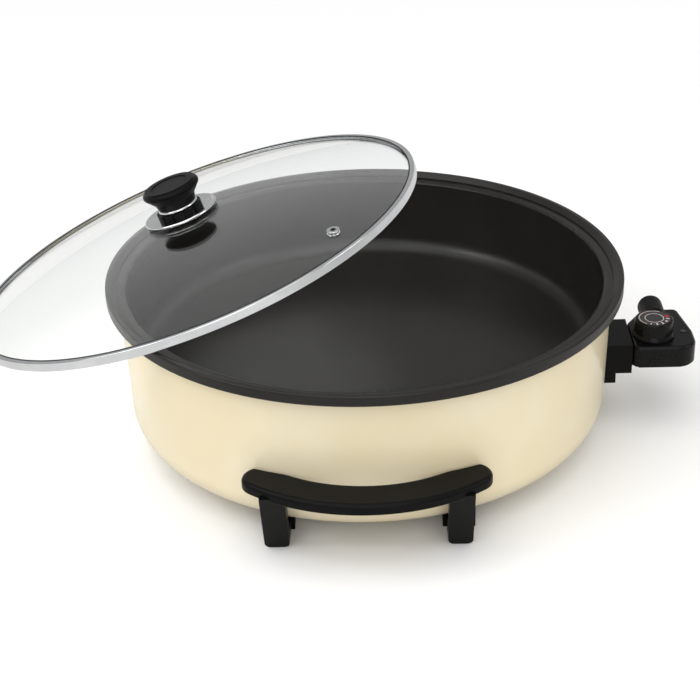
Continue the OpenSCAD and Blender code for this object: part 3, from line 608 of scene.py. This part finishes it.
def settle(made: bpy.types.Object, place: Place = FLAT,
           angle_deg: float = 30.0) -> bpy.types.Object:
    """Cleans a finished mesh and puts its place into its vertices.

    Args:
        made: The piece, its object still where the operators left it.
        place: Own axes that the mesh was modelled on.
        angle_deg: Edges sharper than this stay sharp.

    Returns:
        The same object, at the origin, unturned and unscaled.
    """
    take(made)
    bpy.ops.object.transform_apply(location=True, rotation=True, scale=True)
    bpy.ops.object.mode_set(mode="EDIT")
    bpy.ops.mesh.select_all(action="SELECT")
    bpy.ops.mesh.remove_doubles(threshold=UM)
    bpy.ops.mesh.normals_make_consistent(inside=False)
    bpy.ops.object.mode_set(mode="OBJECT")
    made.data.transform(place.matrix())
    made.data.update()
    bpy.ops.object.shade_smooth_by_angle(angle=math.radians(angle_deg))
    return made


def cut(made: bpy.types.Object, tool: bpy.types.Object) -> None:
    """Takes one solid out of another and removes the cutter.

    Args:
        made: The piece that is cut.
        tool: The closed solid that is taken out of it.
    """
    modifier = made.modifiers.new("cut", "BOOLEAN")
    modifier.operation = "DIFFERENCE"
    modifier.solver = "EXACT"
    modifier.object = tool
    take(made)
    bpy.ops.object.modifier_apply(modifier=modifier.name)
    bpy.data.objects.remove(tool)


def lathe(name: str, profile: list[tuple[float, float]], steps: int) -> bpy.types.Object:
    """Turns a closed outline round the Z axis.

    Args:
        name: The piece's name.
        profile: The outline's corners in order, as radius and height in millimetres.
        steps: Parts that the full turn is made of.

    Returns:
        The ring, not yet settled.
    """
    clear_selection()
    mesh = bpy.data.meshes.new(name)
    count = len(profile)
    mesh.from_pydata([(r * MM, 0.0, z * MM) for r, z in profile],
                     [(i, (i + 1) % count) for i in range(count)], [])
    made = linked(name, mesh)
    take(made)
    bpy.ops.object.mode_set(mode="EDIT")
    bpy.ops.mesh.select_all(action="SELECT")
    bpy.ops.mesh.spin(steps=steps, angle=2 * math.pi, center=(0, 0, 0), axis=(0, 0, 1))
    bpy.ops.object.mode_set(mode="OBJECT")
    return made


def arc(centre: tuple[float, float], radius: float, first_deg: float, last_deg: float,
        steps: int) -> list[tuple[float, float]]:
    """Gives points along a circular arc.

    Args:
        centre: Middle of the circle.
        radius: Its radius.
        first_deg: Direction of the first point.
        last_deg: Direction of the last point.
        steps: Parts that the arc is made of.

    Returns:
        The points, both ends included.
    """
    turns = [math.radians(first_deg + (last_deg - first_deg) * i / steps) for i in range(steps + 1)]
    return [(centre[0] + radius * math.cos(t), centre[1] + radius * math.sin(t)) for t in turns]


@dataclass
class SubAssembly:
    """One group of pieces on one body.

    Args:
        body: The body that the group rides on.
        materials: Finished materials by the record's slot name.
    """

    body: Body
    materials: dict[str, bpy.types.Material]

    def finish_nodes(self, *names: str) -> None:
        """Gives carried-over CAD nodes the finish of their slot in the record.

        Args:
            *names: The nodes' names.
        """
        slots = {row["node"]: row["material_slot"] for row in frame["record"]["subparts"]}
        for name in names:
            node = frame["nodes"][name]
            node.data.materials.clear()
            node.data.materials.append(self.materials[slots[name]])
            LOG.info("%s: finish %s", name, slots[name])

    def keep(self, made: bpy.types.Object, slot: str, *stands_for: str) -> bpy.types.Object:
        """Finishes a new piece and puts it on the group's body.

        Args:
            made: The piece, settled.
            slot: The record's slot that it takes its finish from.
            *stands_for: CAD nodes that it replaces.

        Returns:
            The same object.
        """
        made.data.materials.clear()
        made.data.materials.append(self.materials[slot])
        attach(made, self.body.value)
        if stands_for:
            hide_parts(*stands_for)
        LOG.info("%s: %d faces on %s", made.name, len(made.data.polygons), self.body.value)
        return made


@dataclass
class CrossHeadScrew:
    """A pan-head screw with a cross recess, modelled once head up along +Z.

    Args:
        head_radius: Radius of the head, in millimetres.
        head_height: Height of the head.
        shank_radius: Radius of the shank.
        length: Length under the head.
        edge: Most that the head's top edge is rounded by.
        edge_share: Most of the head's height that this rounding takes.
        slot_length: Length of the cross, in head radii.
        slot_width: Width of its slots, in head radii.
        sides: Sides of the head's round.
    """

    head_radius: float
    head_height: float
    shank_radius: float
    length: float
    edge: float = 0.9
    edge_share: float = 0.6
    slot_length: float = 1.15
    slot_width: float = 0.3
    sides: int = 32

    def model(self, name: str) -> bpy.types.Object:
        """Models the screw with its seat at the origin.

        Args:
            name: The piece's name.

        Returns:
            The object, not yet settled.
        """
        clear_selection()
        bpy.ops.mesh.primitive_cylinder_add(
            vertices=self.sides, radius=self.head_radius * MM, depth=self.head_height * MM,
            location=(0, 0, self.head_height * MM / 2))
        made = named(name)
        bpy.ops.object.transform_apply(location=True, rotation=True, scale=True)
        bpy.ops.object.mode_set(mode="EDIT")
        bpy.ops.mesh.select_all(action="DESELECT")
        bpy.ops.object.mode_set(mode="OBJECT")
        for face in made.data.polygons:
            face.select = face.normal.z < -0.9
        bpy.ops.object.mode_set(mode="EDIT")
        bpy.ops.mesh.inset(thickness=(self.head_radius - self.shank_radius) * MM)
        bpy.ops.mesh.extrude_region_move(
            TRANSFORM_OT_translate={"value": (0, 0, -self.length * MM)})
        bpy.ops.object.mode_set(mode="OBJECT")
        for edge in made.data.edges:
            ends = [made.data.vertices[v].co for v in edge.vertices]
            edge.select = all(abs(e.z - self.head_height * MM) < UM / 10 for e in ends)
        bpy.ops.object.mode_set(mode="EDIT")
        rounding = min(self.edge, self.head_height * self.edge_share)
        bpy.ops.mesh.bevel(offset=rounding * MM, segments=4, profile=0.5)
        bpy.ops.object.mode_set(mode="OBJECT")
        for turn in (0.0, math.pi / 2):
            clear_selection()
            bpy.ops.mesh.primitive_cube_add(size=1, location=(0, 0, self.head_height * MM))
            blade = bpy.context.object
            blade.scale = (self.head_radius * self.slot_length * MM,
                           self.head_radius * self.slot_width * MM, self.head_height * MM)
            blade.rotation_euler = (0, 0, turn)
            bpy.ops.object.transform_apply(location=True, rotation=True, scale=True)
            cut(made, blade)
        return made

    def row(self, name: str, places: list[Place]) -> bpy.types.Object:
        """Copies the screw to its places and joins the copies.

        Args:
            name: The joined piece's name.
            places: Where each head's seat lies and how the head points.

        Returns:
            One settled object with every screw in it.
        """
        first = self.model(name)
        copies = []
        for place in places:
            copy = linked(name, first.data.copy())
            copy.data.transform(place.matrix())
            copies.append(copy)
        bpy.data.objects.remove(first)
        return settle(joined(name, copies))


@dataclass
class Pan(SubAssembly):
    """The heated pan: coated liner, enamelled shell, handles, socket and what is inside.

    Args:
        block_x: Half the distance between the foot blocks' screws, in millimetres.
        block_y: Distance of those screws from the middle.
        block_seat: Height of those screws' seats.
        foot_head: Radius of their heads, then the heads' height and the shanks' radius.
        guard_head: The same three sizes of the socket guard's screws.
    """

    block_x: float = 69.5
    block_y: float = 151.0
    block_seat: float = 7.0
    foot_head: tuple[float, float, float] = (4.0, 3.0, 1.9)
    guard_head: tuple[float, float, float] = (3.0, 1.8, 1.5)

    def build(self) -> None:
        """Finishes the carried-over pieces and models the screws."""
        self.finish_nodes("outer_shell", "pan_liner", "heat_spreader", "heating_element",
                          "element_terminals", "heat_shield", "centre_stud", "stud_spacers",
                          "centre_nut", "front_handle", "rear_handle", "handle_nuts",
                          "socket_guard", "sensor_sleeve", "guard_nuts")
        self.foot_screws()
        self.guard_screws()

    def foot_screws(self) -> None:
        """Models the four screws that hold the foot blocks to the shell."""
        low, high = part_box("handle_screws")
        screw = CrossHeadScrew(*self.foot_head, (high.z - low.z) / MM - self.foot_head[1])
        places = [Place((x * self.block_x * MM, y * self.block_y * MM, self.block_seat * MM),
                        (math.pi, 0, 0))
                  for x in (-1, 1) for y in (-1, 1)]
        self.keep(screw.row("foot_screws", places), "zinc_steel", "handle_screws")

    def guard_screws(self) -> None:
        """Models the two screws that hold the socket guard."""
        low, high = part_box("guard_screws")
        middle = (low.y + high.y) / 2
        side = high.y - middle - self.guard_head[0] * MM
        height = (low.z + high.z) / 2
        screw = CrossHeadScrew(*self.guard_head, (high.x - low.x) / MM - self.guard_head[1])
        seat = high.x - self.guard_head[1] * MM
        places = [Place((seat, middle + s * side, height), (0, math.pi / 2, 0))
                  for s in (-1, 1)]
        self.keep(screw.row("guard_flange_screws", places), "zinc_steel", "guard_screws")


@dataclass
class Plug(SubAssembly):
    """The pull-out thermostat plug without its dial.

    Args:
        screw_places: Where the housing's screws stand, seen from above, in millimetres.
        head_radius: Radius of a housing screw's head.
        head_height: Height of that head.
        shank_radius: Radius of its shank.
    """

    screw_places: tuple[tuple[float, float], ...] = (
        (222.9, -24.9),
        (222.9, 13.5),
        (261.3, 38.3),
        (265.8, -20.0))
    head_radius: float = 2.3
    head_height: float = 1.3
    shank_radius: float = 1.25

    def build(self) -> None:
        """Finishes the carried-over pieces and models the housing's screws."""
        self.finish_nodes("probe_base", "probe_cover", "cord_gland", "pilot_lens", "sensor_rod",
                          "probe_contacts", "thermostat_block")
        self.housing_screws()

    def housing_screws(self) -> None:
        """Models the four screws that hold the cover to the base, heads down."""
        low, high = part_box("probe_screws")
        screw = CrossHeadScrew(self.head_radius, self.head_height, self.shank_radius,
                               (high.z - low.z) / MM - self.head_height)
        seat = low.z + self.head_height * MM
        places = [Place((x * MM, y * MM, seat), (math.pi, 0, 0)) for x, y in self.screw_places]
        self.keep(screw.row("housing_screws", places), "zinc_steel", "probe_screws")


@dataclass
class Dial(SubAssembly):
    """The thermostat's dial with its printed face.

    Args:
        number_height: Height of a printed number, in millimetres.
        number_radius: Distance of the numbers from the dial's axis.
        count: How many numbers are printed, from 1 up.
        first_turn: Direction of the first number, in degrees from +X.
        step: Turn from one number to the next.
        weight: How much bolder than the plain font a number is.
        print_depth: Half the thickness of the ink, in millimetres.
        mark_outer: Outer radius of the red mark.
        mark_depth: Its width along the radius.
        mark_from: Where it starts, in degrees from +X.
        mark_to: Where it stops.
        mark_sides: Sides that a full turn of it would have.
        ink: Colour of the numbers, sRGB hex.
        warm_ink: Colour of the mark at the hot end, sRGB hex.
    """

    number_height: float = 3.5
    number_radius: float = 11.1
    count: int = 5
    first_turn: float = -112.0
    step: float = 26.0
    weight: float = 0.12
    print_depth: float = 0.02
    mark_outer: float = 12.6
    mark_depth: float = 3.4
    mark_from: float = 8.0
    mark_to: float = 24.0
    mark_sides: int = 96
    ink: str = "#f4f1ec"
    warm_ink: str = "#b3222b"

    def build(self) -> None:
        """Finishes the carried-over pieces and prints the scale."""
        self.finish_nodes("dial_shaft", "dial_knob", "dial_face")
        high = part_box("dial_face")[1]
        top = high.z + self.print_depth * MM
        numbers = [self.number(str(i + 1), self.first_turn + i * self.step, top)
                   for i in range(self.count)]
        made = settle(joined("dial_numbers", numbers), DIAL_AXIS)
        self.keep(made, "dial_print")
        self.ink_over(made, "screen_ink_white", self.ink)
        self.hot_mark(top)

    def ink_over(self, made: bpy.types.Object, name: str, colour: str) -> None:
        """Gives a printed piece a screen ink, slightly uneven where it was laid down.

        Args:
            made: The printed piece.
            name: The ink's name.
            colour: Its colour, sRGB hex.
        """
        finish = Finish(name, colour, colour, tone_mm=2.0, roughness=0.45, spread=0.05,
                        grain_mm=0.3, relief_um=4)
        made.data.materials.clear()
        made.data.materials.append(finish.build())

    def number(self, text: str, turn_deg: float, top: float) -> bpy.types.Object:
        """Sets one number as a thin printed mesh, upright as seen from outside the dial.

        Args:
            text: The digit.
            turn_deg: Its direction from +X.
            top: Height that it is printed on, in metres.

        Returns:
            The number as a mesh about the dial's own axis.
        """
        clear_selection()
        bpy.ops.object.text_add()
        made = bpy.context.object
        made.data.body = text
        made.data.size = self.number_height * MM
        made.data.align_x = "CENTER"
        made.data.align_y = "CENTER"
        made.data.offset = self.weight * MM
        made.data.extrude = self.print_depth * MM
        take(made)
        bpy.ops.object.convert(target="MESH")
        made = bpy.context.object
        turn = math.radians(turn_deg)
        spot = Matrix.Translation((math.cos(turn) * self.number_radius * MM,
                                   math.sin(turn) * self.number_radius * MM, top))
        made.data.transform(spot @ Matrix.Rotation(turn + math.pi / 2, 4, "Z"))
        return made

    def hot_mark(self, top: float) -> None:
        """Models the printed red wedge at the hot end of the scale.

        Args:
            top: Height that it is printed on, in metres.
        """
        clear_selection()
        bpy.ops.mesh.primitive_circle_add(
            vertices=self.mark_sides, radius=self.mark_outer * MM, fill_type="NGON",
            location=(0, 0, top))
        made = named("dial_hot_mark")
        bpy.ops.object.transform_apply(location=True, rotation=True, scale=True)
        bpy.ops.object.mode_set(mode="EDIT")
        bpy.ops.mesh.select_all(action="SELECT")
        bpy.ops.mesh.inset(thickness=self.mark_depth * MM)
        bpy.ops.object.mode_set(mode="OBJECT")
        for face in made.data.polygons:
            centre = face.center
            turn = math.degrees(math.atan2(centre.y, centre.x))
            inside = centre.xy.length < self.mark_outer * MM / 2
            face.select = inside or not self.mark_from < turn < self.mark_to
        bpy.ops.object.mode_set(mode="EDIT")
        bpy.ops.mesh.select_mode(type="FACE")
        bpy.ops.mesh.delete(type="FACE")
        bpy.ops.mesh.select_all(action="SELECT")
        bpy.ops.mesh.extrude_region_move(
            TRANSFORM_OT_translate={"value": (0, 0, self.print_depth * MM)})
        bpy.ops.object.mode_set(mode="OBJECT")
        settle(made, DIAL_AXIS)
        self.keep(made, "dial_print")
        self.ink_over(made, "screen_ink_red", self.warm_ink)


@dataclass
class Lid(SubAssembly):
    """The glass lid with its steel band, vent and knob.

    Args:
        lip_line_radius: Middle radius of the dark ring between glass and band, in millimetres.
        lip_line_z: Height of the ring's middle over the lid's rim plane.
        lip_line_half: Half the ring's thickness.
        lip_line_sides: Corners of the ring's round section.
        lip_line_steps: Parts that the ring's full turn is made of.
        dish_z: Height of the knob dish's underside over the lid's rim plane.
        dish_sheet: Thickness of the dish's sheet.
        dish_radius: Radius of the dish.
        dish_hole: Radius of the hole that the knob's screw goes through.
        roll: Radius of the dish's rolled edge.
        roll_drop: How far that edge hangs under the dish's underside.
        roll_from: Direction where the rolled edge starts, in degrees from outwards.
        roll_to: Direction where it ends, over its top.
        roll_steps: Parts that its round is made of.
        dish_steps: Parts that the dish's full turn is made of.
        dish_under: Corners of its underside, as radius and rise over that sheet face.
        dish_over: Corners of its top, from the edge inwards, in the same way.
    """

    lip_line_radius: float = 194.6
    lip_line_z: float = 7.5
    lip_line_half: float = 0.6
    lip_line_sides: int = 12
    lip_line_steps: int = 240
    dish_z: float = 33.0
    dish_sheet: float = 1.0
    dish_radius: float = 32.0
    dish_hole: float = 3.1
    roll: float = 1.35
    roll_drop: float = 0.2
    roll_from: float = -105.0
    roll_to: float = 150.0
    roll_steps: int = 22
    dish_steps: int = 160
    dish_under: tuple[tuple[float, float], ...] = ((20.0, 0.0), (25.0, 0.12), (28.2, 0.0))
    dish_over: tuple[tuple[float, float], ...] = (
        (28.9, 0.35), (28.2, 0.1), (27.2, 0.0), (24.0, 0.06), (20.2, 0.0))

    def build(self) -> None:
        """Finishes the carried-over pieces and models the dark lip ring, a painted reflection, and
        the dish.
        """
        self.finish_nodes("lid_glass", "lid_band", "vent_eyelet", "lid_washers", "knob_base",
                          "knob_ring", "knob_cap", "lid_screw")
        # a dark ring that paints the reflection along the band's upper lip
        self.painted_lip_reflection()
        self.dish()
        # clear glass lets light through, so it casts no shadow on the pan
        frame["nodes"]["lid_glass"].visible_shadow = False

    def painted_lip_reflection(self) -> None:
        """Models a dark grey bead along the band's upper lip: painted reflection, in place of the
        dark line that the chrome band mirrors there.
        """
        # painted reflection: this dark ring stands in for the dark line mirrored in the chrome
        # band's upper lip
        gaps = self.lip_line_sides - 1
        bead = arc((self.lip_line_radius, self.lip_line_z), self.lip_line_half, 0,
                   360 * gaps / self.lip_line_sides, gaps)
        self.keep(settle(lathe("lid_painted_lip_reflection", bead, self.lip_line_steps), LID), "grey_rubber")

    def dish(self) -> None:
        """Models the bright dish under the knob, with its thick rolled edge."""
        low, high = self.dish_z, self.dish_z + self.dish_sheet
        edge = (self.dish_radius - self.roll, low + self.roll - self.roll_drop)
        # underside outwards, round the rolled edge, and back in along the top
        outline = [(self.dish_hole, low)]
        outline += [(radius, low + rise) for radius, rise in self.dish_under]
        outline += arc(edge, self.roll, self.roll_from, self.roll_to, self.roll_steps)
        outline += [(radius, high + rise) for radius, rise in self.dish_over]
        outline += [(self.dish_hole, high)]
        self.keep(settle(lathe("knob_rolled_dish", outline, self.dish_steps), LID),
                  "bright_chrome", "knob_dish")


@dataclass(frozen=True)
class Lamp:
    """One lamp of the set.

    Args:
        name: The lamp's name.
        kind: Blender's lamp type.
        spot: Where it hangs, in metres.
        target: What it is aimed at.
        energy: Watts, or irradiance for a sun.
        size: Diameter of a round area lamp in metres, or a sun's angle in radians.
    """

    name: str
    kind: str
    spot: tuple[float, float, float]
    target: tuple[float, float, float]
    energy: float
    size: float

    def hang(self) -> None:
        """Puts the lamp into the scene."""
        data = bpy.data.lights.new(self.name, self.kind)
        data.energy = self.energy
        if self.kind == "SUN":
            data.angle = self.size
        else:
            data.shape = "DISK"
            data.size = self.size
        made = linked(self.name, data)
        made.location = self.spot
        aim = Vector(self.target) - Vector(self.spot)
        made.rotation_euler = aim.to_track_quat("-Z", "Y").to_euler()


# a high soft key, two soft boxes for the highlights and a front fill
LAMPS = (
    Lamp("key_soft", "SUN", (-0.5, -0.9, 2.2), (0, 0, 0), 1.35, math.radians(70)),
    Lamp("box_left", "AREA", (-1.5, -0.5, 1.3), (0, 0, 0.1), 6.0, 1.0),
    Lamp("box_right", "AREA", (1.6, -0.4, 1.1), (0.1, 0, 0.1), 5.0, 0.9),
    Lamp("fill_front", "AREA", (0.15, -2.0, 0.75), (0, 0, 0.06), 6.0, 1.4),
)


@dataclass
class Studio:
    """Floor, light and camera of the product photograph.

    Args:
        floor_size: Side of the square floor, in metres.
        sky: Strength of the even white light from all sides.
        shine: Strength of the same air where a glossy surface mirrors it.
        paper: The floor's colour where it lights the pan, sRGB hex.
        eye: Where the camera stands, in the part's frame.
        yaw: The camera's turn from +Y towards +X, in radians.
        pitch: How far it looks down.
        roll: Its tilt about the line of sight.
        lens: Focal length in millimetres on a 36 mm sensor.
    """

    floor_size: float = 12.0
    sky: float = 0.52
    shine: float = 0.42
    paper: str = "#dedddb"
    eye: tuple[float, float, float] = (0.01595, -1.21811, 0.72914)
    yaw: float = -0.0247
    pitch: float = 0.4980
    roll: float = 0.0334
    lens: float = 84.93

    def build(self) -> None:
        """Makes the whole set."""
        bpy.context.scene.view_settings.view_transform = "Standard"
        self.floor()
        self.world()
        for lamp in LAMPS:
            lamp.hang()
        self.camera()

    def seen_white(self, tree: bpy.types.NodeTree) -> bpy.types.NodeSocket:
        """Gives 1 for rays that look at the set, straight or through glass.

        Args:
            tree: The node tree that asks.

        Returns:
            The factor output.
        """
        path = add(tree, "ShaderNodeLightPath")
        seen = add(tree, "ShaderNodeMath", None, {0: path.outputs["Is Camera Ray"],
                                                  1: path.outputs["Is Transmission Ray"]},
                   operation="MAXIMUM")
        return seen.outputs[0]

    def floor(self) -> None:
        """Lays the pale floor, which keeps the pan's shadow."""
        clear_selection()
        bpy.ops.mesh.primitive_plane_add(size=self.floor_size)
        made = named("studio_floor")
        material, tree = empty_material("paper_white_matt")
        white = add(tree, "ShaderNodeMix", {6: linear(self.paper), 7: WHITE},
                    {0: self.seen_white(tree)}, data_type="RGBA")
        shader = add(tree, "ShaderNodeBsdfDiffuse", None, {"Color": white.outputs[2]})
        add(tree, "ShaderNodeOutputMaterial", None, {"Surface": shader.outputs["BSDF"]})
        made.data.materials.append(material)

    def world(self) -> None:
        """Sets the even light, and shows it as white to what looks at it."""
        world = bpy.data.worlds.new("studio_air")
        bpy.context.scene.world = world
        world.use_nodes = True
        tree = world.node_tree
        tree.nodes.clear()
        path = add(tree, "ShaderNodeLightPath")
        mirrored = add(tree, "ShaderNodeMix", {2: self.sky, 3: self.shine},
                       {0: path.outputs["Is Glossy Ray"]}, data_type="FLOAT")
        power = add(tree, "ShaderNodeMix", {3: 1.0},
                    {0: self.seen_white(tree), 2: mirrored.outputs[0]}, data_type="FLOAT")
        air = add(tree, "ShaderNodeBackground", {"Color": WHITE},
                  {"Strength": power.outputs[0]})
        add(tree, "ShaderNodeOutputWorld", None, {"Surface": air.outputs["Background"]})

    def camera(self) -> None:
        """Stands the camera where the photograph was taken from."""
        sy, cy = math.sin(self.yaw), math.cos(self.yaw)
        sp, cp = math.sin(self.pitch), math.cos(self.pitch)
        forward = Vector((sy * cp, cy * cp, -sp))
        right = Vector((cy, -sy, 0.0))
        down = forward.cross(right)
        cr, sr = math.cos(self.roll), math.sin(self.roll)
        side = right * cr + down * sr
        fall = down * cr - right * sr
        turn = Matrix((side, -fall, -forward)).transposed()
        data = bpy.data.cameras.new("photo_camera")
        data.sensor_width = 36
        data.lens = self.lens
        made = linked("photo_camera", data)
        made.matrix_world = Matrix.Translation(self.eye) @ turn.to_4x4()
        bpy.context.scene.camera = made


def main() -> None:
    """Builds every group in order."""
    logging.basicConfig(level=logging.INFO, format="%(name)s: %(message)s")
    materials = {slot: finish.build() for slot, finish in FINISHES.items()}
    Pan(Body.PAN, materials).build()
    Plug(Body.PLUG, materials).build()
    Dial(Body.DIAL, materials).build()
    Lid(Body.LID, materials).build()
    Studio().build()
    clear_selection()
    bpy.context.view_layer.update()
    LOG.info("boxes written")


if __name__ == "__main__":
    main()
